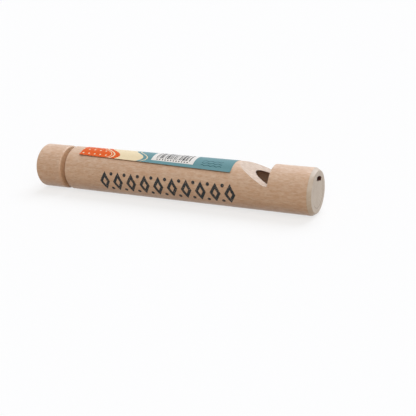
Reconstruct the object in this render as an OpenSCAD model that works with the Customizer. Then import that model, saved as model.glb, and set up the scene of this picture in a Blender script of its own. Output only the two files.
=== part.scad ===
// Wooden slide whistle: a turned tube with a window and a mouth plug, and a
// plunger with a handle, lying along X with its slide pushed in.
// +X points to the mouth end, +Z to the window; z = 0 is under the tube.

/* [Tube] */
// Outer diameter of the tube and of the handle
body_d = 28.6; // [26:0.1:32]
// Length of the tube
body_l = 170; // [150:1:220]
// Diameter of the bore
bore_d = 19; // [17:0.1:20]
// Length of the bevel at the mouth end
nose_bevel_l = 2.3; // [0.5:0.1:4]
// Depth of the bevel at the mouth end
nose_bevel_h = 1.5; // [0.3:0.1:2.5]
// Edge break at the tail end
tail_break = 0.6; // [0.2:0.1:1.2]

/* [Window] */
// Length of the slanted ramp
ramp_l = 19.2; // [15:0.1:24]
// Length of the flat floor between the ramp and the wall
window_floor_l = 2.4; // [1:0.1:4]
// Depth of the floor below the top of the tube
window_h = 9.4; // [7.5:0.1:11]

/* [Mouth plug] */
// Length of the plug, from the window's wall to the mouth end
plug_l = 26.7; // [20:0.1:34]
// Width of the windway's groove
windway_w = 8; // [5:0.1:9]
// Height of the windway at its middle
windway_h = 2.8; // [1.6:0.05:3.5]
// How far the groove is turned towards the front, in degrees
windway_turn = -14; // [-20:0.5:20]
// Edge break at the inner end of the plug
plug_break = 0.5; // [0.2:0.1:1]

/* [Tail bushing] */
// Length of the bushing
bushing_l = 12; // [6:0.5:20]

/* [Rod and handle] */
// Diameter of the rod
rod_d = 9.5; // [8:0.1:11]
// Length of the handle
handle_l = 19.8; // [16:0.1:40]
// Depth of the rod's socket in the handle
socket_l = 14; // [8:0.5:15]
// Gap between the handle and the tube, with the slide pushed in
handle_gap = 3.7; // [1:0.1:5]
// Length of the bevel at the handle's inner end
handle_bevel_l = 0.9; // [0.3:0.1:2.5]
// Depth of the bevel at the handle's inner end
handle_bevel_h = 0.7; // [0.3:0.1:2.5]
// Edge break at the handle's outer end
handle_break = 1.1; // [0.3:0.1:2]

/* [Piston] */
// Length of the wooden disc
disc_l = 6; // [3:0.5:12]
// Length of the felt ring
seal_l = 5; // [2:0.5:10]
// Thickness of the washer
washer_t = 1; // [0.5:0.1:2]
// Distance from the washer to the window's lip, with the slide pushed in
piston_gap = 6; // [4:0.1:15]
// Diameter of the screw's shank
screw_d = 3.2; // [2.5:0.1:4]
// Length of the screw under its head
screw_l = 16; // [10:0.5:20]
// Diameter of the screw's head
screw_head_d = 6.6; // [5.5:0.1:8]
// Height of the screw's head
screw_head_h = 2; // [1:0.1:2.1]

/* [Label] */
// Width of the paper round the tube
label_w = 22; // [12:0.5:30]
// Thickness of the paper
label_t = 0.12; // [0.08:0.01:0.3]
// Distance from the tail end to the label
label_tail_gap = 9.4; // [3:0.1:20]
// Distance from the label to the window's ramp
label_window_gap = 2.8; // [1:0.1:20]
// How far the label is turned towards the front, in degrees
label_turn = -4; // [-15:0.5:15]
// How far the label runs askew, its window end towards the front, in degrees
label_tilt = 1.4; // [-2:0.1:2]

/* [Fits] */
// Glue line round a glued piece
glue_gap = 0.05; // [0.02:0.01:0.08]
// Clearance round the rod in the bushing, and of the felt ring
run_gap = 0.07; // [0.03:0.01:0.1]
// Clearance of the disc and the washer in the bore
piston_clearance = 0.35; // [0.2:0.05:0.6]
// End play of the felt ring
seal_play = 0.1; // [0.05:0.05:0.3]

/* [Hidden] */
$fn = 96;
full_turn = 360;

// Overrun of a cut past the face that it opens
cut = 1;

// Radii
body_r = body_d / 2;
bore_r = bore_d / 2;
rod_r = rod_d / 2;
tube_wall = body_r - bore_r;

// Places along X, from the handle's end to the mouth end
closed_l = handle_l + handle_gap + body_l;
handle_x = -closed_l / 2;
handle_face_x = handle_x + handle_l;
tail_x = handle_face_x + handle_gap;
mouth_x = tail_x + body_l;
window_wall_x = mouth_x - plug_l;
floor_x = window_wall_x - window_floor_l;
ramp_x = floor_x - ramp_l;

// The lip is where the ramp meets the top of the bore
lip_x = ramp_x + ramp_l * tube_wall / window_h;

// Piston, counted back from the lip
washer_x = lip_x - piston_gap - washer_t;
seal_x = washer_x - seal_play / 2 - seal_l;
disc_x = seal_x - seal_play / 2 - disc_l;

// Rod, from the bottom of its socket to the back of the washer
socket_x = handle_face_x - socket_l;
rod_x = socket_x + glue_gap;
rod_l = washer_x - rod_x;
rod_break = 0.4;

// Screw: pilot hole in the rod, driving slot and drawn-in tip
pilot_r = screw_d / 2 + glue_gap;
pilot_spare = 1;
pilot_l = screw_l - washer_t + pilot_spare;
slot_w = 1;
slot_h = screw_head_h / 2;
tip_l = screw_d;

// Label
label_x = tail_x + label_tail_gap;
label_l = ramp_x - label_window_gap - label_x;
label_in_r = body_r + glue_gap / 2;

// A corner of the label in plan, from its place along the label and round it, from the label's middle
function label_corner(along, round_it) =
    let (
        x = along * cos(label_tilt) - round_it * sin(label_tilt),
        arc = along * sin(label_tilt) + round_it * cos(label_tilt)
    )
    [label_x + label_l / 2 + x, -label_in_r * sin(label_turn + arc / (PI * body_d) * full_turn)];

// The axis of the tube lies one radius up
axis_z = body_r;

// Stands what is turned about Z up along X, from the given place
module along_x(x) {
    translate([x, 0, axis_z])
        rotate([0, 90, 0])
            children();
}

// Half outline of a round bar's end at z, drawn in by a bevel of length l and depth h, or square
function bar_end(r, z, l, h) = h > 0 ? [[r - h, z], [r, z + l]] : [[r, z]];

// A round bar with a bevel, or a square edge, at each end
module bevelled_bar(r, l, low_l, low_h, high_l, high_h) {
    low = bar_end(r, 0, low_l, low_h);
    high = bar_end(r, l, -high_l, high_h);
    high_turned = [for (i = [len(high) - 1 : -1 : 0]) high[i]];
    rotate_extrude()
        polygon(concat([[0, 0]], low, high_turned, [[0, l]]));
}

// A ring with a plain bore
module ring(out_r, in_r, l) {
    difference() {
        cylinder(r = out_r, h = l);
        translate([0, 0, -cut])
            cylinder(r = in_r, h = l + 2 * cut);
    }
}

// What the saw and the knife take away at the window
module window_cut() {
    top_z = axis_z + body_r;
    translate([0, body_r + cut, 0])
        rotate([90, 0, 0])
            linear_extrude(body_d + 2 * cut)
                polygon([
                    [ramp_x - ramp_l * cut / window_h, top_z + cut],
                    [floor_x, top_z - window_h],
                    [window_wall_x, top_z - window_h],
                    [window_wall_x, top_z + cut]
                ]);
}

module body_tube() {
    color("#d3ac8c")
        difference() {
            along_x(tail_x)
                bevelled_bar(body_r, body_l, tail_break, tail_break, nose_bevel_l, nose_bevel_h);
            along_x(tail_x - cut)
                cylinder(r = bore_r, h = body_l + 2 * cut);
            window_cut();
        }
}

// Block that closes the bore up to the window, with a groove for the windway
module mouth_plug() {
    plug_r = bore_r - glue_gap;
    color("#d9b898")
        difference() {
            along_x(window_wall_x)
                bevelled_bar(plug_r, plug_l, plug_break, plug_break, 0, 0);
            translate([window_wall_x - cut, 0, axis_z])
                rotate([windway_turn, 0, 0])
                    translate([0, -windway_w / 2, bore_r - windway_h])
                        cube([plug_l + 2 * cut, windway_w, bore_r]);
        }
}

module tail_bushing() {
    color("#c99f7c")
        along_x(tail_x)
            ring(bore_r - glue_gap, rod_r + run_gap, bushing_l);
}

module slide_rod() {
    color("#dab893")
        difference() {
            along_x(rod_x)
                bevelled_bar(rod_r, rod_l, rod_break, rod_break, 0, 0);
            along_x(washer_x - pilot_l)
                cylinder(r = pilot_r, h = pilot_l + cut);
        }
}

module handle() {
    color("#cfa685")
        difference() {
            along_x(handle_x)
                bevelled_bar(body_r, handle_l, handle_break, handle_break, handle_bevel_l, handle_bevel_h);
            along_x(socket_x)
                cylinder(r = rod_r + glue_gap, h = socket_l + cut);
        }
}

module piston_disc() {
    color("#c79d78")
        along_x(disc_x)
            ring(bore_r - piston_clearance, rod_r + glue_gap, disc_l);
}

module piston_seal() {
    color("#8a4038")
        along_x(seal_x)
            ring(bore_r - run_gap, rod_r + run_gap, seal_l);
}

module piston_washer() {
    color("#a8abad")
        along_x(washer_x)
            ring(bore_r - piston_clearance, screw_d / 2 + glue_gap, washer_t);
}

// Pan-head screw, driven from the mouth side into the end of the rod
module piston_screw() {
    head_x = washer_x + washer_t;
    shank_l = screw_l - tip_l;
    color("#b9bcbe")
        difference() {
            union() {
                along_x(head_x)
                    cylinder(r = screw_head_d / 2, h = screw_head_h);
                along_x(head_x - shank_l)
                    cylinder(r = screw_d / 2, h = shank_l);
                along_x(head_x - screw_l)
                    cylinder(r1 = 0, r2 = screw_d / 2, h = tip_l);
            }
            translate([head_x + screw_head_h - slot_h, -screw_head_d, axis_z - slot_w / 2])
                cube([slot_h + cut, 2 * screw_head_d, slot_w]);
        }
}

// Strip of paper round the top of the tube, cut out in plan from a thin sleeve
module paper_label() {
    color("#4f97a8")
        intersection() {
            along_x(tail_x)
                ring(label_in_r + label_t, label_in_r, body_l);
            translate([0, 0, axis_z])
                linear_extrude(body_d)
                    polygon([
                        label_corner(-label_l / 2, label_w / 2),
                        label_corner(label_l / 2, label_w / 2),
                        label_corner(label_l / 2, -label_w / 2),
                        label_corner(-label_l / 2, -label_w / 2)
                    ]);
        }
}

body_tube();
mouth_plug();
tail_bushing();
slide_rod();
handle();
piston_disc();
piston_seal();
piston_washer();
piston_screw();
paper_label();
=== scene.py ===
"""Looks of a wooden slide whistle: turned wood, a felt and steel piston and a printed paper label."""

import math

import bmesh
import bpy
from mathutils import Matrix, Vector, noise


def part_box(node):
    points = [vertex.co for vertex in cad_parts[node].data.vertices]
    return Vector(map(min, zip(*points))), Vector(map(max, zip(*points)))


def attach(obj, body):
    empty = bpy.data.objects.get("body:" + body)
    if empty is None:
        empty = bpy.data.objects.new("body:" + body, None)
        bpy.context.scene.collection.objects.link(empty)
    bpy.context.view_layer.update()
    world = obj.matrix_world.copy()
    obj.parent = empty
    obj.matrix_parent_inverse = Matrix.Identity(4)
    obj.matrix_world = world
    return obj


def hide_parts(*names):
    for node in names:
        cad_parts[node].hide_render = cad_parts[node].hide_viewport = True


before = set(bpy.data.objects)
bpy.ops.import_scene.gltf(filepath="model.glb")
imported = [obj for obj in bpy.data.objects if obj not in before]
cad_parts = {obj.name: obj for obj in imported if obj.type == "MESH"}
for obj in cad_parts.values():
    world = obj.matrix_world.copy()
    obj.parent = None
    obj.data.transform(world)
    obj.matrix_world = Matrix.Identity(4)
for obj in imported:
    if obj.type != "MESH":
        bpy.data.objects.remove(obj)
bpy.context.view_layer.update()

MM = 0.001

# Places and sizes of the model, in metres, read from the parts in model.glb
tube_low, tube_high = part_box("body_tube")
plug_low, plug_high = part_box("mouth_plug")
bushing_low, bushing_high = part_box("tail_bushing")
handle_low, handle_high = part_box("handle")
rod_low, rod_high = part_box("slide_rod")
disc_low, disc_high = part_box("piston_disc")
seal_low, seal_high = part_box("piston_seal")
washer_low, washer_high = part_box("piston_washer")
screw_low, screw_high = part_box("piston_screw")
label_low, label_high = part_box("paper_label")


def radius_of(low, high):
    return (high.y - low.y) / 2


TUBE_R = radius_of(tube_low, tube_high)
AXIS_Z = tube_low.z + TUBE_R
PLUG_R = radius_of(plug_low, plug_high)
ROD_R = radius_of(rod_low, rod_high)

# Sizes of the model that its boxes don't show
GLUE_GAP = 0.05 * MM
RUN_GAP = 0.07 * MM
BORE_R = PLUG_R + GLUE_GAP
TAIL_BREAK = 0.6 * MM
NOSE_BEVEL_L, NOSE_BEVEL_H = 2.3 * MM, 1.5 * MM
HANDLE_BREAK = 1.1 * MM
HANDLE_BEVEL_L, HANDLE_BEVEL_H = 0.9 * MM, 0.7 * MM
SOCKET_L = 14 * MM
ROD_BREAK = 0.4 * MM
PLUG_BREAK = 0.5 * MM
WINDWAY_W, WINDWAY_H, WINDWAY_TURN = 8 * MM, 2.8 * MM, math.radians(-14)
SCREW_R = 1.6 * MM
SCREW_HEAD_H = 2 * MM
SLOT_W, SLOT_H = 1 * MM, 1 * MM
TIP_L = 3.2 * MM
PILOT_L = 16 * MM
RAMP_L, WINDOW_FLOOR_L, WINDOW_H = 19.2 * MM, 2.4 * MM, 9.4 * MM
LABEL_W, LABEL_T = 22 * MM, 0.12 * MM
LABEL_TURN, LABEL_TILT = math.radians(-4), math.radians(1.4)

# Window: its wall, the start of its flat floor, and the floor's height over the axis
WALL_X = plug_low.x
FLOOR_X = WALL_X - WINDOW_FLOOR_L
RAMP_X = FLOOR_X - RAMP_L
FLOOR_RISE = tube_high.z - WINDOW_H - AXIS_Z

# Label: its middle, and its length along its own tilted edge
LABEL_MIDDLE_X = (label_low.x + label_high.x) / 2
LABEL_L = (label_high.x - label_low.x - LABEL_W * math.sin(LABEL_TILT)) / math.cos(LABEL_TILT)

# How far the edges of sanded wood are rounded, of a saw cut and of the washer
SANDED = 0.3 * MM
SAWN = 0.14 * MM
STAMPED = 0.08 * MM

# Faces round a large turned piece, the rod and a ring
ROUND_STEPS, ROD_STEPS, RING_STEPS = 160, 96, 128

# Places of the points on a rounded corner, in degrees
CORNER_TURNS = 0, 22.5, 45, 67.5, 90


def on_tube(x, r, angle):
    """Point at radius r and at an angle from the top towards the front."""
    return Vector((x, -r * math.sin(angle), AXIS_Z + r * math.cos(angle)))


def angles_round(steps):
    """Angles of the points on a full circle."""
    return [2 * math.pi * i / steps for i in range(steps)]


def circle(x, r, steps):
    """Points round the tube's axis."""
    return [on_tube(x, r, a) for a in angles_round(steps)]


def join_loops(made, near, far, material=0):
    """Faces between two loops of as many vertices."""
    for i in range(len(near)):
        k = (i + 1) % len(near)
        made.faces.new([near[i], near[k], far[k], far[i]]).material_index = material


def new_piece(name, made):
    """The object of a bmesh."""
    mesh = bpy.data.meshes.new(name)
    made.to_mesh(mesh)
    made.free()
    piece = bpy.data.objects.new(name, mesh)
    bpy.context.scene.collection.objects.link(piece)
    return piece


def smooth_piece(name, made):
    """The object of a bmesh, with its faces turned outwards and smooth."""
    bmesh.ops.recalc_face_normals(made, faces=made.faces)
    for face in made.faces:
        face.smooth = True
    return new_piece(name, made)


def finished(name, made, edges=SANDED, edge_material=-1):
    """The object of a bmesh, with rounded edges and even shading."""
    piece = smooth_piece(name, made)
    if edges:
        bevel = piece.modifiers.new("edges", "BEVEL")
        bevel.width = edges
        bevel.segments = 3
        bevel.limit_method = "ANGLE"
        bevel.angle_limit = math.radians(20)
        bevel.miter_outer = "MITER_ARC"
        bevel.material = edge_material
    even = piece.modifiers.new("shading", "WEIGHTED_NORMAL")
    even.weight = 60
    even.keep_sharp = False
    return piece


def turned(name, outline, edges=SANDED, steps=ROUND_STEPS):
    """A piece turned about the tube's axis, from a closed outline of (x, r). r = 0 is a point."""
    made = bmesh.new()
    loops = []
    for x, r in outline:
        points = circle(x, r, steps)
        loops.append([made.verts.new(point) for point in (points if r > 0 else points[:1])])
    for near, far in zip(loops, loops[1:] + loops[:1]):
        if len(near) == len(far) == 1:
            continue
        for i in range(steps):
            k = (i + 1) % steps
            corners = [near[i % len(near)], near[k % len(near)], far[k % len(far)], far[i % len(far)]]
            made.faces.new(list(dict.fromkeys(corners)))
    return finished(name, made, edges)


def between(low, high, steps):
    """Evenly spaced values from low to high, both included."""
    return [low + (high - low) * i / steps for i in range(steps + 1)]


def whistle_tube():
    """The tube, with faces that follow the window's outline outside and in the bore."""
    # Faces round half of the window and half of the rest
    half_window, half_rest = 36, 50
    count = 2 * (half_window + half_rest)
    # Rows of faces: straight part, part that bends to the ramp, window's floor, mouth part, cut faces
    straight_rows, bent_rows, floor_rows, mouth_rows, cut_rows = 56, 16, 2, 16, 5
    bent_l = 12 * MM
    straight_to = RAMP_X - bent_l

    def column_angles(r):
        edge = math.acos(FLOOR_RISE / r)
        window = between(0, edge, half_window)
        rest = between(edge, math.pi, half_rest)[1:]
        front = window + rest
        return front + [-angle for angle in reversed(front[1:-1])]

    def in_window(column):
        return column <= half_window or column >= count - half_window

    def cut_x(r, angle, column):
        """Where the ramp meets the surface of radius r, or the floor's start beside the window."""
        if not in_window(column):
            return FLOOR_X
        return FLOOR_X - (r * math.cos(angle) - FLOOR_RISE) * RAMP_L / WINDOW_H

    made = bmesh.new()

    def skin(r, low_ends, high_ends):
        """One surface of the tube: rings of vertices, with None in the window, and its rim."""
        angles = column_angles(r)

        def ring(x, ring_r):
            return [made.verts.new(on_tube(x, ring_r, a)) for a in angles]

        rings = [ring(x, end_r) for x, end_r in low_ends]
        first_x = low_ends[-1][0] if low_ends else tube_low.x
        last_x = high_ends[0][0] if high_ends else tube_high.x
        straight = between(first_x, straight_to, straight_rows)
        rings += [ring(x, r) for x in (straight[1:] if low_ends else straight)]
        for share in between(0, 1, bent_rows)[1:]:
            rings.append([
                made.verts.new(on_tube(straight_to + (cut_x(r, a, i) - straight_to) * share, r, a))
                for i, a in enumerate(angles)
            ])
        cut_row = len(rings) - 1
        edge_columns = (half_window, count - half_window)
        for x in between(FLOOR_X, WALL_X, floor_rows)[1:-1]:
            rings.append([
                made.verts.new(on_tube(x, r, a)) if not in_window(i) or i in edge_columns else None
                for i, a in enumerate(angles)
            ])
        rings.append(ring(WALL_X, r))
        wall_row = len(rings) - 1
        mouth = between(WALL_X, last_x, mouth_rows)[1:]
        rings += [ring(x, r) for x in (mouth[:-1] if high_ends else mouth)]
        rings += [ring(x, end_r) for x, end_r in high_ends]
        for row, (near, far) in enumerate(zip(rings, rings[1:])):
            for i in range(count):
                k = (i + 1) % count
                if cut_row <= row < wall_row and in_window(i) and in_window(k):
                    continue
                made.faces.new([near[i], near[k], far[k], far[i]])
        columns = [(half_window - i) % count for i in range(2 * half_window + 1)]
        rim = [rings[cut_row][i] for i in columns]
        rim += [rings[row][columns[-1]] for row in range(cut_row + 1, wall_row)]
        rim += [rings[wall_row][i] for i in reversed(columns)]
        rim += [rings[row][columns[0]] for row in range(wall_row - 1, cut_row, -1)]
        return rings, rim

    outside, outer_rim = skin(
        TUBE_R,
        [(tube_low.x, TUBE_R - TAIL_BREAK), (tube_low.x + TAIL_BREAK, TUBE_R)],
        [(tube_high.x - NOSE_BEVEL_L, TUBE_R), (tube_high.x, TUBE_R - NOSE_BEVEL_H)],
    )
    inside, inner_rim = skin(BORE_R, [], [])

    def strip(near, far, material=0):
        """Faces from one loop of vertices straight across to the other."""
        loops = [near]
        for share in between(0, 1, cut_rows)[1:-1]:
            loops.append([made.verts.new(a.co.lerp(b.co, share)) for a, b in zip(near, far)])
        loops.append(far)
        for a, b in zip(loops, loops[1:]):
            join_loops(made, a, b, material)

    strip(outer_rim, inner_rim, material=1)
    strip(outside[0], inside[0])
    strip(outside[-1], inside[-1])
    return finished("whistle_tube", made, SAWN, edge_material=1)


def windway_plug():
    """Round block with a groove for the windway, its edges broken at the inner end."""
    steps, rows = 84, 12

    def section(x, r):
        half, floor = WINDWAY_W / 2, BORE_R - WINDWAY_H
        edge = math.asin(half / r)
        points = [on_tube(x, r, WINDWAY_TURN + a) for a in between(edge, 2 * math.pi - edge, steps)]
        corners = [
            on_tube(x, math.hypot(half, floor), WINDWAY_TURN + side * math.atan2(half, floor))
            for side in (-1, 1)
        ]
        return points + corners

    made = bmesh.new()
    places = [(plug_low.x, PLUG_R - PLUG_BREAK)]
    places += [(x, PLUG_R) for x in between(plug_low.x + PLUG_BREAK, plug_high.x, rows)]
    loops = [[made.verts.new(point) for point in section(x, r)] for x, r in places]
    for near, far in zip(loops, loops[1:]):
        join_loops(made, near, far)
    for loop in (loops[0], loops[-1]):
        made.faces.new(loop)
    return finished("windway_plug", made, SAWN)


def turned_handle():
    low, high = handle_low.x, handle_high.x
    socket_r = ROD_R + GLUE_GAP
    rows = 6
    return turned("turned_handle", [
        (low, 0),
        (low, TUBE_R - HANDLE_BREAK),
        *[(x, TUBE_R) for x in between(low + HANDLE_BREAK, high - HANDLE_BEVEL_L, rows)],
        (high, TUBE_R - HANDLE_BEVEL_H),
        (high, socket_r),
        (high - SOCKET_L, socket_r),
        (high - SOCKET_L, 0),
    ])


def dowel_rod():
    low, high = rod_low.x, rod_high.x
    pilot_r = SCREW_R + GLUE_GAP
    rows = 24
    return turned("dowel_rod", [
        (low, 0),
        (low, ROD_R - ROD_BREAK),
        *[(x, ROD_R) for x in between(low + ROD_BREAK, high - ROD_BREAK, rows)[:-1]],
        (high, ROD_R),
        (high, pilot_r),
        (high - PILOT_L, pilot_r),
        (high - PILOT_L, 0),
    ], SAWN, ROD_STEPS)


def turned_ring(name, low, high, inner_r, edges=SAWN):
    outer_r = radius_of(low, high)
    return turned(name, [
        (low.x, inner_r),
        (low.x, outer_r),
        (high.x, outer_r),
        (high.x, inner_r),
    ], edges, RING_STEPS)


def felt_ring():
    """Pressed wool ring with soft edges and an uneven, hairy skin."""
    low, high = seal_low.x, seal_high.x
    outer_r, inner_r = radius_of(seal_low, seal_high), ROD_R + RUN_GAP
    soft = 0.7 * MM
    uneven, uneven_l = 0.09 * MM, 0.8 * MM
    steps = 144
    middle_x, middle_r = (low + high) / 2, (outer_r + inner_r) / 2
    half_x, half_r = (high - low) / 2, (outer_r - inner_r) / 2
    outline = []
    for side_x, side_r, start in ((1, 1, 0), (-1, 1, 90), (-1, -1, 180), (1, -1, 270)):
        for turn in CORNER_TURNS:
            a = math.radians(start + turn)
            outline.append((
                middle_x + side_x * (half_x - soft) + soft * math.cos(a),
                middle_r + side_r * (half_r - soft) + soft * math.sin(a),
            ))
    made = bmesh.new()
    loops = []
    for x, r in outline:
        out_x, out_r = (x - middle_x) / half_x, (r - middle_r) / half_r
        loop = []
        for a in angles_round(steps):
            dent = uneven * (0.5 + 0.5 * noise.noise(on_tube(x, r, a) / uneven_l))
            loop.append(made.verts.new(on_tube(x - dent * out_x, r - dent * out_r, a)))
        loops.append(loop)
    for near, far in zip(loops, loops[1:] + loops[:1]):
        join_loops(made, near, far)
    return finished("felt_ring", made, edges=0)


def cut_box(piece, low, high):
    """Takes a box out of a piece, and keeps what is left as its mesh."""
    weld = 0.002 * MM
    made = bmesh.new()
    box_at = Matrix.Translation((low + high) / 2) @ Matrix.Diagonal((*(high - low), 1))
    bmesh.ops.create_cube(made, matrix=box_at)
    cutter = new_piece("cutter", made)
    away = piece.modifiers.new("slot", "BOOLEAN")
    away.operation = "DIFFERENCE"
    away.solver = "EXACT"
    away.object = cutter
    depsgraph = bpy.context.evaluated_depsgraph_get()
    piece.data = bpy.data.meshes.new_from_object(piece.evaluated_get(depsgraph))
    piece.modifiers.clear()
    bpy.data.objects.remove(cutter)
    left = bmesh.new()
    left.from_mesh(piece.data)
    bmesh.ops.remove_doubles(left, verts=left.verts, dist=weld)
    bmesh.ops.dissolve_degenerate(left, edges=left.edges, dist=weld)
    left.to_mesh(piece.data)
    left.free()


def pan_head_screw():
    """Slotted screw with a domed head and a thread that runs out in the tip."""
    under_x = screw_high.x - SCREW_HEAD_H
    shank_l = under_x - screw_low.x
    head_r = radius_of(screw_low, screw_high)
    # Head: height of its upright rim, radius of its flat top, and its lower edge
    rim_h, top_r, edge = 0.5 * MM, 2.3 * MM, 0.12 * MM
    top_shares = 0.35, 0.7
    # Thread: pitch, root, plain part under the head, its run-in, and a flank's share of the pitch
    pitch, root_r, plain_l, fade_l, flank_share = 1.3 * MM, 1.15 * MM, 1.6 * MM, 0.9 * MM, 0.32
    steps, rows_per_turn = 48, 10

    def clamped(value):
        return min(1.0, max(0.0, value))

    def thread_r(x, turn):
        """Radius of the shank at a place along it and round it."""
        down = under_x - x
        phase = (down / pitch + turn) % 1
        crest = max(0.0, 1 - abs(phase - 0.5) / flank_share)
        full = clamped((down - plain_l) / fade_l)
        r = root_r + (SCREW_R - root_r) * (crest * full + (1 - full))
        return r * clamped((shank_l - down) / TIP_L)

    rows = [(screw_high.x, top_r * share) for share in top_shares]
    for turn in CORNER_TURNS:
        a = math.radians(turn)
        rows.append((
            under_x + rim_h + (SCREW_HEAD_H - rim_h) * math.cos(a),
            top_r + (head_r - top_r) * math.sin(a),
        ))
    rows += [(under_x + edge, head_r), (under_x, head_r - edge)]
    made = bmesh.new()
    loops = [[made.verts.new(point) for point in circle(x, r, steps)] for x, r in rows]
    for x in between(under_x, screw_low.x, round(shank_l / pitch * rows_per_turn))[:-1]:
        loops.append([
            made.verts.new(on_tube(x, thread_r(x, i / steps), a))
            for i, a in enumerate(angles_round(steps))
        ])
    for near, far in zip(loops, loops[1:]):
        join_loops(made, near, far)
    for loop, end_x in ((loops[0], screw_high.x), (loops[-1], screw_low.x)):
        tip = made.verts.new(on_tube(end_x, 0, 0))
        for i in range(steps):
            made.faces.new([loop[i], loop[(i + 1) % steps], tip])
    screw = smooth_piece("pan_head_screw", made)
    past = 1 * MM
    cut_box(
        screw,
        Vector((screw_high.x - SLOT_H, -head_r - past, AXIS_Z - SLOT_W / 2)),
        Vector((screw_high.x + past, head_r + past, AXIS_Z + SLOT_W / 2)),
    )
    screw.data.set_sharp_from_angle(angle=math.radians(35))
    return screw


def printed_label():
    """Strip of paper round the top of the tube, with its front edge lifted a little."""
    along, around = 110, 40
    inner_r = TUBE_R + GLUE_GAP / 2
    # Lift: its width from the front edge, its waves' length, and its reach from the tail's corner
    lifted_w, wave_l, corner_l = 2.8 * MM, 9 * MM, 14 * MM
    # Height of the lift: everywhere, by its waves and at the corner
    lift_h, wave_h, corner_h = 0.46 * MM, 0.26 * MM, 0.1 * MM
    # How sharply the lift ends, and the row of the noise that its waves follow
    curl, noise_row = 1.7, 0.3

    def lift(share_along, share_around):
        """How far the paper stands off near its front edge, more at the tail's corner."""
        near_edge = max(0.0, 1 - share_around * LABEL_W / lifted_w)
        place = share_along * LABEL_L
        wavy = 0.5 + 0.5 * noise.noise(Vector((place / wave_l, noise_row, 0)))
        corner = max(0.0, 1 - place / corner_l)
        return near_edge ** curl * (lift_h + wave_h * wavy + corner_h * corner)

    made = bmesh.new()
    sides = []
    for thickness in (0, LABEL_T):
        sheet = []
        for i in range(along + 1):
            row = []
            for k in range(around + 1):
                u, v = LABEL_L * (i / along - 0.5), LABEL_W * (0.5 - k / around)
                x = LABEL_MIDDLE_X + u * math.cos(LABEL_TILT) - v * math.sin(LABEL_TILT)
                arc = u * math.sin(LABEL_TILT) + v * math.cos(LABEL_TILT)
                r = inner_r + thickness + lift(i / along, k / around)
                row.append(made.verts.new(on_tube(x, r, LABEL_TURN + arc / TUBE_R)))
            sheet.append(row)
        sides.append(sheet)
        for i in range(along):
            for k in range(around):
                made.faces.new([sheet[i][k], sheet[i + 1][k], sheet[i + 1][k + 1], sheet[i][k + 1]])

    def rim(sheet):
        loop = [row[0] for row in sheet] + sheet[-1][1:]
        loop += [row[-1] for row in reversed(sheet[:-1])] + sheet[0][-2:0:-1]
        return loop

    under, over = sides
    join_loops(made, rim(under), rim(over), material=1)
    return finished("printed_label", made, edges=0)


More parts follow.
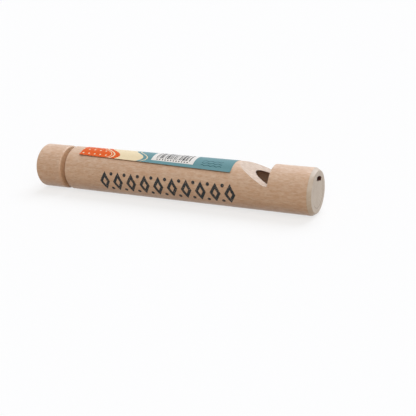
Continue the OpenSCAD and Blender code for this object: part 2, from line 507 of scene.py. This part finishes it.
class Nodes:
    """A material's node tree, built a value or a colour at a time. Lengths are in millimetres."""

    def __init__(self, name):
        self.material = bpy.data.materials.new(name)
        self.material.use_nodes = True
        self.tree = self.material.node_tree
        self.tree.nodes.clear()
        self.place = self.put("ShaderNodeTexCoord")
        self.at = self.vector("SCALE", self.place.outputs["Object"], scale=1 / MM)
        self.x, self.y, z = self.split(self.at)
        self.z = self.minus(z, AXIS_Z / MM)

    def put(self, kind, inputs=None, **settings):
        node = self.tree.nodes.new(kind)
        for key, value in settings.items():
            setattr(node, key, value)
        for key, value in (inputs or {}).items():
            self.feed(node.inputs[key], value)
        return node

    def feed(self, socket, value):
        if isinstance(value, bpy.types.NodeSocket):
            self.tree.links.new(value, socket)
        else:
            socket.default_value = value

    def math(self, operation, *values, clamp=False):
        node = self.put("ShaderNodeMath", operation=operation, use_clamp=clamp)
        for socket, value in zip(node.inputs, values):
            self.feed(socket, value)
        return node.outputs[0]

    def plus(self, a, b):
        return self.math("ADD", a, b)

    def minus(self, a, b):
        return self.math("SUBTRACT", a, b)

    def times(self, a, b):
        return self.math("MULTIPLY", a, b)

    def times_plus(self, a, b, c):
        """a times b, plus c."""
        return self.math("MULTIPLY_ADD", a, b, c)

    def over(self, a, b):
        return self.math("DIVIDE", a, b)

    def larger(self, a, b):
        return self.math("MAXIMUM", a, b)

    def size(self, a):
        """A value without its sign."""
        return self.math("ABSOLUTE", a)

    def floor(self, a):
        return self.math("FLOOR", a)

    def fraction(self, a):
        return self.math("FRACT", a)

    def vector(self, operation, *values, scale=None):
        node = self.put("ShaderNodeVectorMath", operation=operation)
        for socket, value in zip(node.inputs, values):
            self.feed(socket, value)
        if scale is not None:
            self.feed(node.inputs["Scale"], scale)
        return node.outputs[0]

    def split(self, vector):
        return self.put("ShaderNodeSeparateXYZ", {0: vector}).outputs

    def length(self, vector):
        return self.put("ShaderNodeVectorMath", {0: vector}, operation="LENGTH").outputs["Value"]

    def join(self, x, y, z):
        return self.put("ShaderNodeCombineXYZ", {0: x, 1: y, 2: z}).outputs[0]

    def angle(self):
        """Angle about the tube's axis, from the top towards the front."""
        return self.math("ARCTAN2", self.times(self.y, -1), self.z)

    def off_axis(self):
        """Distance from the tube's axis."""
        return self.length(self.join(self.y, self.z, 0))

    def noise(self, along, across, detail=2, rough=0.5, at=None):
        """Noise of so many cells per millimetre along the tube and across it."""
        cells = self.vector("MULTIPLY", self.at if at is None else at, (along, across, across))
        inputs = {"Vector": cells, "Scale": 1, "Detail": detail, "Roughness": rough}
        return self.put("ShaderNodeTexNoise", inputs).outputs[0]

    def band(self, value, low, high, to_low=0, to_high=1):
        """A smooth step from one value to another as value goes from low to high."""
        node = self.put("ShaderNodeMapRange", interpolation_type="SMOOTHSTEP")
        for socket, given in zip(node.inputs, (value, low, high, to_low, to_high)):
            self.feed(socket, given)
        return node.outputs[0]

    def fade(self, value, low, high):
        """A smooth step down from 1 to 0 as value goes from low to high."""
        return self.band(value, low, high, 1, 0)

    def mix(self, share, a, b, blend="MIX"):
        node = self.put("ShaderNodeMix", data_type="RGBA", blend_type=blend)
        for index, value in ((0, share), (6, a), (7, b)):
            self.feed(node.inputs[index], value)
        return node.outputs[2]

    def layers(self, colour, *layers):
        """A colour under others, each given as its share and its tone."""
        for share, tone in layers:
            colour = self.mix(share, colour, tone)
        return colour

    def inside(self, distance, blur=0.06):
        """1 where a signed distance is below zero, with a soft rim."""
        return self.fade(distance, -blur, blur)

    def bump(self, height, strength, distance):
        inputs = {"Height": height, "Strength": strength, "Distance": distance}
        return self.put("ShaderNodeBump", inputs).outputs[0]

    def shader(self, **inputs):
        """Ends the tree with a Principled shader. A socket's name has _ for each space."""
        named = {key.replace("_", " "): value for key, value in inputs.items()}
        shader = self.put("ShaderNodeBsdfPrincipled", named)
        self.put("ShaderNodeOutputMaterial", {"Surface": shader.outputs[0]})
        return self.material


def srgb(r, g, b):
    """A colour written in 0 to 255, as linear light."""
    def linear(c):
        c /= 255
        return c / 12.92 if c <= 0.04045 else ((c + 0.055) / 1.055) ** 2.4
    return (linear(r), linear(g), linear(b), 1)


# Print on the label and on the tube
ORANGE, CREAM, TEAL = srgb(228, 94, 24), srgb(241, 223, 186), srgb(107, 151, 158)
PAPER_WHITE, INK, TEAL_DARK = srgb(238, 235, 231), srgb(44, 48, 52), srgb(44, 84, 92)
TUBE_INK = srgb(18, 34, 44), srgb(38, 54, 62)

# Wood: light and dark end grain on the mouth's face, greyed there in part by a painted sheen, and on
# other ends; flecks and pores; painted shade for the bore and the windway; and a painted shadow line
# under the label's front edge
MOUTH_END_WITH_SHEEN = srgb(207, 196, 183), srgb(185, 168, 149)
SAWN_END = srgb(226, 192, 160), srgb(200, 164, 132)
FLECK, PORE, END_PORE = srgb(240, 224, 208), srgb(164, 126, 96), srgb(158, 136, 110)
BORE_PAINTED_SHADE, WINDWAY_PAINTED_SHADE, LABEL_PAINTED_SHADOW = srgb(112, 94, 90), srgb(92, 56, 44), srgb(128, 88, 60)

# How far a face looks along the tube where side grain starts and ends its change to end grain:
# for most pieces, and for those whose ramps and bevels keep side grain
END_GRAIN, LATE_END_GRAIN = (0.28, 0.62), (0.72, 0.94)


def label_place(n):
    """Places along the label from its tail end, and across it from its front edge."""
    tilt_sin, tilt_cos = math.sin(LABEL_TILT), math.cos(LABEL_TILT)
    along = n.minus(n.x, LABEL_MIDDLE_X / MM)
    arc = n.times(n.minus(n.angle(), LABEL_TURN), TUBE_R / MM)
    u = n.times_plus(along, tilt_cos, n.times_plus(arc, tilt_sin, LABEL_L / 2 / MM))
    v = n.times_plus(along, tilt_sin, n.times_plus(arc, -tilt_cos, LABEL_W / 2 / MM))
    return u, v


def label_edge_painted_shadow(n):
    """Share of the painted shadow line on the tube, close under the label's lifted front edge."""
    u, v = label_place(n)
    # Places across the front edge, before it and then under the label
    before_start, before_full, under_full, under_end = -0.75, -0.1, 0.2, 0.6
    fade_l = 0.5
    uneven = n.band(n.noise(0.5, 0.5, detail=3), 0.35, 0.65, to_low=0.65)
    past_end = n.larger(n.times(u, -1), n.minus(u, LABEL_L / MM))
    front = n.times(n.band(v, before_start, before_full), n.fade(past_end, 0, fade_l))
    near_label = n.times(front, n.fade(v, under_full, under_end))
    return n.times(near_label, uneven)


def ornament(n):
    """Share of ink on the tube's front: a row of lozenges with a pair of dots between them."""
    # Lozenges: count, pitch, the first one's place from the tail, and the row's arc from the top
    count, pitch, start, middle_arc = 10, 9.8, 31.5, 24.7
    # Half sizes of a lozenge and of its hole, along the tube and round it
    outer_l, outer_h, hole_l, hole_h = 3.7, 6.6, 1.5, 2.7
    dot_r, dot_rise = 1.15, 5.2
    blur = 0.1
    from_tail = n.minus(n.x, tube_low.x / MM + start)
    cell = n.floor(n.over(n.plus(from_tail, pitch / 2), pitch))
    within = n.size(n.minus(from_tail, n.times(cell, pitch)))
    side = n.size(n.minus(n.times(n.angle(), TUBE_R / MM), middle_arc))
    ragged = n.times(n.minus(n.noise(0.5, 3, detail=3), 0.5), 0.5)

    def lozenge(half_l, half_h):
        share = n.plus(n.over(within, half_l), n.over(side, half_h))
        distance = n.times(n.minus(share, 1), half_l * 0.8)
        return n.inside(n.plus(distance, ragged), blur)

    row = n.math("SUBTRACT", lozenge(outer_l, outer_h), lozenge(hole_l, hole_h), clamp=True)
    in_row = n.times(n.band(cell, -0.5, -0.4), n.fade(cell, count - 0.6, count - 0.5))
    from_dot = n.length(n.join(n.minus(pitch / 2, within), n.minus(side, dot_rise), 0))
    dot = n.inside(n.plus(n.minus(from_dot, dot_r), ragged), blur)
    last = (count - 1) * pitch
    in_dots = n.times(n.band(from_tail, 0, blur), n.fade(from_tail, last - blur, last))
    return n.larger(n.times(row, in_row), n.times(dot, in_dots))


def bore_shade(n, colour, across):
    """Wood in the bore, darkened by painted shade with a little of the duller tone of bored wood;
    darker still past the window's wall, where it is the windway.
    """
    past_bore, blur, deep = 0.1, 0.4, 2
    wall = WALL_X / MM
    radius = BORE_R / MM + past_bore
    bore = n.fade(n.off_axis(), radius, radius + blur)
    share = n.times(n.band(n.x, wall, wall + deep, 0.3, 0.9), n.minus(1, across))
    # painted shade: the colour that the bore and the windway are darkened towards
    tint = n.mix(n.band(n.x, wall, wall + deep), BORE_PAINTED_SHADE, WINDWAY_PAINTED_SHADE)
    return n.mix(n.times(bore, share), colour, tint)


def groove_shade(n, colour):
    """Painted shade in the plug's groove: the wood there is darkened."""
    turn_sin, turn_cos = math.sin(WINDWAY_TURN), math.cos(WINDWAY_TURN)
    floor, half = (BORE_R - WINDWAY_H) / MM, WINDWAY_W / 2 / MM
    floor_blur, side_blur = 0.12, 0.1
    rise = n.times_plus(n.y, -turn_sin, n.times(n.z, turn_cos))
    off = n.size(n.times_plus(n.y, turn_cos, n.times(n.z, turn_sin)))
    groove = n.times(n.band(rise, floor - floor_blur, floor), n.fade(off, half, half + side_blur))
    return n.mix(groove, colour, WINDWAY_PAINTED_SHADE)


def late_wood(n, streaks, pith, ring_gap):
    """How late in its growth ring a place is. The rings' pith line runs a little askew."""
    slope_y, slope_z, wander = 0.012, 0.02, 5.0
    darkens_from, ring_end = 0.2, 0.93
    ring_y = n.minus(n.y, n.times_plus(n.x, slope_y, pith[0]))
    ring_z = n.minus(n.z, n.times_plus(n.x, slope_z, pith[1]))
    astray = n.minus(streaks(0.02, 0.09), 0.5)
    from_pith = n.times_plus(astray, wander, n.length(n.join(ring_y, ring_z, 0)))
    ring = n.fraction(n.over(from_pith, ring_gap))
    return n.times(n.band(ring, darkens_from, ring_end), n.fade(ring, ring_end, 1.0))


def wood(
    name, side_tones, end_tones, pith, shift, ring_gap=2.3, end_grain=END_GRAIN,
    bored=False, grooved=False, printed=False,
):
    """Bare sanded wood: growth rings round a pith line, fibres, flecks, pores and end grain.

    The tones are a light and a dark one, and shift sets one piece's grain apart from the next.
    """
    n = Nodes(name)
    light, dark = side_tones
    end_light, end_dark = end_tones
    grain = n.vector("ADD", n.at, (shift, shift * 0.7, shift * 0.4))

    def streaks(along, across, detail=2, rough=0.5):
        return n.noise(along, across, detail, rough, grain)

    late = late_wood(n, streaks, pith, ring_gap)
    broad = streaks(0.03, 0.16, detail=1)
    mottle = streaks(0.22, 0.5, detail=3, rough=0.6)
    fibres = streaks(0.16, 4.0, detail=3, rough=0.6)
    flecks = streaks(0.32, 1.5, rough=0.6)
    dashes = n.band(streaks(0.6, 6.0, detail=1), 0.66, 0.74)
    pores = streaks(0.4, 6.5, rough=0.6)
    normal_x = n.split(n.place.outputs["Normal"])[0]
    across = n.band(n.size(normal_x), *end_grain)

    side = n.layers(
        light,
        (n.times(late, 0.2), dark),
        (n.band(broad, 0.3, 0.75, to_high=0.32), dark),
        (n.band(mottle, 0.62, 0.3, to_high=0.3), FLECK),
        (n.band(fibres, 0.4, 0.8, to_high=0.3), dark),
        (n.band(flecks, 0.5, 0.7, to_high=0.6), dark),
        (n.band(flecks, 0.46, 0.3, to_high=0.24), FLECK),
        (n.times(dashes, 0.4), PORE),
    )

    # The tube and the plug have the pale end grain, greyed in part by a painted sheen, at the mouth
    # alone
    if bored or grooved:
        bevel_start = (tube_high.x - NOSE_BEVEL_L) / MM
        at_mouth = n.band(n.x, bevel_start - 1, bevel_start - 0.5)
        end_light = n.mix(at_mouth, SAWN_END[0], end_light)
        end_dark = n.mix(at_mouth, SAWN_END[1], end_dark)
    end = n.layers(
        end_light,
        (n.times(late, 0.3), end_dark),
        (n.band(broad, 0.4, 0.7, to_high=0.3), end_dark),
        (n.band(pores, 0.52, 0.72, to_high=0.3), END_PORE),
    )
    colour = n.mix(across, side, end)
    # painted shade in the bore and the windway
    if bored:
        colour = bore_shade(n, colour, across)
    # painted shade in the plug's groove
    if grooved:
        colour = groove_shade(n, colour)

    scratches = streaks(6.0, 0.4)
    height = n.times_plus(fibres, 0.5, n.times(scratches, 0.4))
    height = n.times_plus(dashes, -0.35, height)
    height = n.times_plus(n.times(pores, across), 0.9, height)
    coat = 0.9
    if printed:
        # painted shadow under the label's lifted front edge, darkening the wood there
        colour = n.mix(n.times(label_edge_painted_shadow(n), 0.7), colour, LABEL_PAINTED_SHADOW)
        worn = n.band(streaks(0.8, 7, detail=3), 0.70, 0.60)
        ink = n.times(ornament(n), worn)
        colour = n.mix(n.times(ink, 0.98), colour, n.mix(fibres, *TUBE_INK))
        coat = n.times_plus(ink, -coat, coat)
    return n.shader(
        Base_Color=colour,
        Roughness=n.band(mottle, 0.3, 0.7, 0.46, 0.6),
        Normal=n.bump(height, strength=0.3, distance=0.05 * MM),
        IOR=1.5,
        Specular_IOR_Level=0.2,
        Coat_Weight=coat,
        Coat_Roughness=0.40,
        Coat_IOR=1.5,
    )


def label_print():
    """Semi-gloss paper: orange, cream and teal fields, with a white block of bars."""
    n = Nodes("label_print")
    u, v = label_place(n)
    blur = 0.05

    def wave(value, size, turns, start):
        return n.times(n.math("SINE", n.times_plus(value, turns, start)), size)

    def line(distance, half_w):
        """1 on a line where a distance is near zero."""
        return n.inside(n.minus(n.size(distance), half_w), blur)

    def box(low_u, high_u, low_v, high_v):
        """1 inside a rectangle of the label."""
        off_u = n.minus(n.size(n.minus(u, (low_u + high_u) / 2)), (high_u - low_u) / 2)
        off_v = n.minus(n.size(n.minus(v, (low_v + high_v) / 2)), (high_v - low_v) / 2)
        return n.inside(n.larger(off_u, off_v), blur)

    # Colour fields, parted by two waves across the strip, with cream lines along the waves
    orange_end, cream_end = 25, 43
    past_orange = n.minus(u, n.plus(wave(v, size=5.0, turns=0.34, start=0.5), orange_end))
    past_cream = n.minus(u, n.plus(wave(v, size=4.2, turns=0.40, start=0.1), cream_end))
    colour = n.mix(n.band(past_orange, -blur, blur), ORANGE, CREAM)
    colour = n.mix(n.band(past_cream, -blur, blur), colour, TEAL)
    for past, at, half_w in (
        (past_orange, -4.2, 0.55),
        (past_orange, -6.4, 0.3),
        (past_cream, 3.0, 0.4),
    ):
        colour = n.mix(line(n.minus(past, at), half_w), colour, CREAM)

    # Dots on the orange field, each row half a pitch from the last
    pitch, dot_r, dots_end = 4.4, 0.62, -8.6
    row = n.floor(n.over(v, pitch))
    shifted = n.times_plus(row, pitch / 2, u)
    cell_u = n.minus(n.math("MODULO", n.plus(shifted, 3 * pitch), pitch), pitch / 2)
    cell_v = n.minus(n.times_plus(row, -pitch, v), pitch / 2)
    dot = n.inside(n.minus(n.length(n.join(cell_u, cell_v, 0)), dot_r))
    in_orange = n.fade(past_orange, dots_end, dots_end + 0.1)
    colour = n.mix(n.times(dot, in_orange), colour, CREAM)

    # White block with bars of uneven width over a row of ticks
    block = 53.5, 83.3, 2.6, 20.3
    bars_area, ticks_area = (56.4, 80.6, 5.0, 18.6), (57.0, 80.4, 3.4, 4.3)
    bar_pitch, tick_pitch = 1.21, 1.95
    least_share, more_share = 0.2, 0.62
    colour = n.mix(box(*block), colour, PAPER_WHITE)
    bar = n.over(n.minus(u, bars_area[0]), bar_pitch)
    white_noise = n.put("ShaderNodeTexWhiteNoise", {"W": n.floor(bar)}, noise_dimensions="1D")
    chance = white_noise.outputs["Value"]
    share = n.times_plus(n.math("POWER", chance, 1.5), more_share, least_share)
    filled = n.fade(n.minus(n.fraction(bar), share), -0.02, 0.02)
    bars = n.times(filled, box(*bars_area))
    tick = n.fraction(n.over(n.minus(u, ticks_area[0]), tick_pitch))
    ticks = n.times(n.fade(tick, 0.42, 0.48), box(*ticks_area))
    colour = n.mix(n.larger(bars, ticks), colour, INK)

    # Three thin waves on the teal field
    waves_area = 88.5, 102.5, 2, 9
    for low in (3.2, 5.2, 7.2):
        thin = line(n.minus(n.minus(v, low), wave(u, size=0.35, turns=1.6, start=low)), half_w=0.22)
        colour = n.mix(n.times(thin, box(*waves_area)), colour, TEAL_DARK)

    fibre = n.noise(1.6, 1.6, detail=4, rough=0.6)
    colour = n.mix(n.band(fibre, 0.3, 0.8, to_high=0.10), colour, srgb(70, 70, 70), "MULTIPLY")
    return n.shader(
        Base_Color=colour,
        Roughness=n.band(fibre, 0.3, 0.8, 0.36, 0.46),
        Normal=n.bump(fibre, strength=0.12, distance=0.03 * MM),
        Specular_IOR_Level=0.14,
        IOR=1.48,
    )


def paper_core():
    """The paper's cut edge."""
    n = Nodes("paper_core")
    colour = n.mix(n.noise(9, 9), srgb(214, 196, 170), srgb(186, 158, 126))
    return n.shader(Base_Color=colour, Roughness=0.85)


def felt():
    """Wool felt: matted hairs in two shades."""
    n = Nodes("wool_felt")
    hairs = n.noise(7, 7, detail=6, rough=0.75)
    clumps = n.noise(1.3, 1.3)
    colour = n.mix(n.band(hairs, 0.3, 0.7), srgb(104, 36, 30), srgb(158, 66, 54))
    colour = n.mix(n.band(clumps, 0.4, 0.7, to_high=0.35), colour, srgb(90, 34, 30))
    return n.shader(
        Base_Color=colour,
        Roughness=0.95,
        Normal=n.bump(hairs, strength=0.8, distance=0.12 * MM),
        Sheen_Weight=0.5,
        Sheen_Roughness=0.4,
    )


def steel():
    """Zinc-plated steel with fine marks round the axis and a faint mottle."""
    n = Nodes("plated_steel")
    marks = n.noise(9, 9, detail=3, at=n.join(n.x, n.off_axis(), 0))
    mottle = n.noise(0.9, 0.9, detail=3)
    return n.shader(
        Base_Color=n.mix(mottle, srgb(176, 179, 180), srgb(204, 205, 200)),
        Metallic=1.0,
        Roughness=n.band(mottle, 0.3, 0.7, 0.28, 0.42),
        Normal=n.bump(marks, strength=0.15, distance=0.02 * MM),
    )


def dress(piece, body, slot, *materials, replaced):
    """Gives a piece its materials and body, and hides the node that it stands for. The slot is not
    used.
    """
    for material in materials:
        piece.data.materials.append(material)
    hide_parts(replaced)
    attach(piece, body)


tube_wood = wood(
    "tube_wood", (srgb(216, 181, 152), srgb(193, 152, 119)), MOUTH_END_WITH_SHEEN,
    pith=(9, -31), shift=0, bored=True, printed=True,
)
cut_wood = wood(
    "cut_wood", (srgb(198, 175, 155), srgb(182, 153, 128)), MOUTH_END_WITH_SHEEN,
    pith=(9, -31), shift=0, end_grain=LATE_END_GRAIN, bored=True,
)
handle_wood = wood(
    "handle_wood", (srgb(214, 178, 149), srgb(190, 148, 115)), SAWN_END,
    pith=(-26, -18), shift=37, ring_gap=2.6, end_grain=LATE_END_GRAIN,
)
plug_wood = wood(
    "plug_wood", (srgb(218, 186, 154), srgb(196, 158, 124)), MOUTH_END_WITH_SHEEN,
    pith=(15, 9), shift=71, ring_gap=1.9, grooved=True,
)
ring_wood = wood(
    "ring_wood", (srgb(206, 170, 136), srgb(180, 140, 106)), SAWN_END,
    pith=(7, 12), shift=149, ring_gap=2.1,
)
rod_wood = wood(
    "rod_wood", (srgb(222, 190, 156), srgb(194, 152, 114)), SAWN_END,
    pith=(11, -7), shift=113, ring_gap=1.7,
)
felt_wool = felt()
plated = steel()

dress(whistle_tube(), "whistle", "tube_wood", tube_wood, cut_wood, replaced="body_tube")
dress(windway_plug(), "whistle", "plug_wood", plug_wood, replaced="mouth_plug")
dress(
    turned_ring("guide_bushing", bushing_low, bushing_high, ROD_R + RUN_GAP),
    "whistle", "plug_wood", ring_wood, replaced="tail_bushing",
)
dress(printed_label(), "whistle", "printed_paper", label_print(), paper_core(), replaced="paper_label")
dress(turned_handle(), "plunger", "handle_wood", handle_wood, replaced="handle")
dress(dowel_rod(), "plunger", "rod_wood", rod_wood, replaced="slide_rod")
dress(
    turned_ring("wooden_disc", disc_low, disc_high, ROD_R + GLUE_GAP),
    "plunger", "plug_wood", ring_wood, replaced="piston_disc",
)
dress(
    turned_ring("flat_washer", washer_low, washer_high, SCREW_R + GLUE_GAP, STAMPED),
    "plunger", "steel", plated, replaced="piston_washer",
)
dress(felt_ring(), "seal_ring", "felt", felt_wool, replaced="piston_seal")
dress(pan_head_screw(), "plunger", "steel", plated, replaced="piston_screw")


def seen_white(nodes, links):
    """1 for rays from the camera and for mirrored and passing ones, 0 for those that carry light."""
    rays = nodes.new("ShaderNodeLightPath")
    total = rays.outputs["Is Camera Ray"]
    for kind in ("Is Glossy Ray", "Is Transmission Ray"):
        either = nodes.new("ShaderNodeMath")
        either.operation = "MAXIMUM"
        links.new(total, either.inputs[0])
        links.new(rays.outputs[kind], either.inputs[1])
        total = either.outputs[0]
    return total


def pale_floor():
    """Wide floor, near white to the camera, that keeps a soft shadow."""
    half = 6.0
    warm_bounce, near_white = (0.44, 0.33, 0.21, 1), (0.93, 0.93, 0.93, 1)
    white_share = 0.7
    mesh = bpy.data.meshes.new("floor")
    corners = [(-half, -half, 0), (half, -half, 0), (half, half, 0), (-half, half, 0)]
    mesh.from_pydata(corners, [], [(0, 1, 2, 3)])
    floor = bpy.data.objects.new("floor", mesh)
    bpy.context.scene.collection.objects.link(floor)
    material = bpy.data.materials.new("pale_floor")
    material.use_nodes = True
    nodes, links = material.node_tree.nodes, material.node_tree.links
    nodes.clear()
    diffuse = nodes.new("ShaderNodeBsdfDiffuse")
    seen = seen_white(nodes, links)
    tone = nodes.new("ShaderNodeMix")
    tone.data_type = "RGBA"
    tone.inputs[6].default_value = warm_bounce
    tone.inputs[7].default_value = near_white
    links.new(seen, tone.inputs[0])
    links.new(tone.outputs[2], diffuse.inputs["Color"])
    white = nodes.new("ShaderNodeEmission")
    white.inputs["Strength"].default_value = 1
    share = nodes.new("ShaderNodeMath")
    share.operation = "MULTIPLY"
    share.inputs[1].default_value = white_share
    links.new(seen, share.inputs[0])
    mixed = nodes.new("ShaderNodeMixShader")
    links.new(share.outputs[0], mixed.inputs[0])
    links.new(diffuse.outputs[0], mixed.inputs[1])
    links.new(white.outputs[0], mixed.inputs[2])
    output = nodes.new("ShaderNodeOutputMaterial")
    links.new(mixed.outputs[0], output.inputs["Surface"])
    mesh.materials.append(material)


def studio_light():
    """Even light from all round, a large soft lamp behind, and a weak one on the camera's side."""
    world_light = 0.36
    # Name, direction of the lamp, strength, spread in degrees, and tint
    lamps = (
        ("back_key", (0.10, 0.62, 1.0), 1.75, 46, (0.94, 0.98, 1.07)),
        ("front_fill", (0.6, -0.8, 0.9), 0.93, 60, (1.06, 0.99, 0.89)),
    )
    world = bpy.data.worlds.new("studio")
    bpy.context.scene.world = world
    world.use_nodes = True
    nodes, links = world.node_tree.nodes, world.node_tree.links
    background = nodes["Background"]
    background.inputs["Color"].default_value = (1, 1, 1, 1)
    level = nodes.new("ShaderNodeMapRange")
    level.inputs["To Min"].default_value = world_light
    level.inputs["To Max"].default_value = 1
    links.new(seen_white(nodes, links), level.inputs["Value"])
    links.new(level.outputs[0], background.inputs["Strength"])
    for name, direction, strength, spread, tint in lamps:
        lamp = bpy.data.lights.new(name, "SUN")
        lamp.energy = strength
        lamp.color = tint
        lamp.angle = math.radians(spread)
        sun = bpy.data.objects.new(name, lamp)
        bpy.context.scene.collection.objects.link(sun)
        sun.rotation_euler = Vector(direction).to_track_quat("Z", "Y").to_euler()


def photo_camera():
    """Camera fitted to the photograph, turned about the tube so that the window faces up."""
    location = Vector((233.77, -414.61, 165.02)) * MM
    right = Vector((0.89934, 0.43452, -0.04874))
    up = Vector((-0.10759, 0.32797, 0.93854))
    data = bpy.data.cameras.new("camera")
    data.sensor_width = 36
    data.lens = 67.805
    data.clip_start, data.clip_end = 0.01, 50
    camera = bpy.data.objects.new("camera", data)
    bpy.context.scene.collection.objects.link(camera)
    turn = Matrix((right, up, right.cross(up))).transposed()
    camera.matrix_world = Matrix.Translation(location) @ turn.to_4x4()
    bpy.context.scene.camera = camera


pale_floor()
studio_light()
photo_camera()
bpy.context.scene.view_settings.view_transform = "Standard"
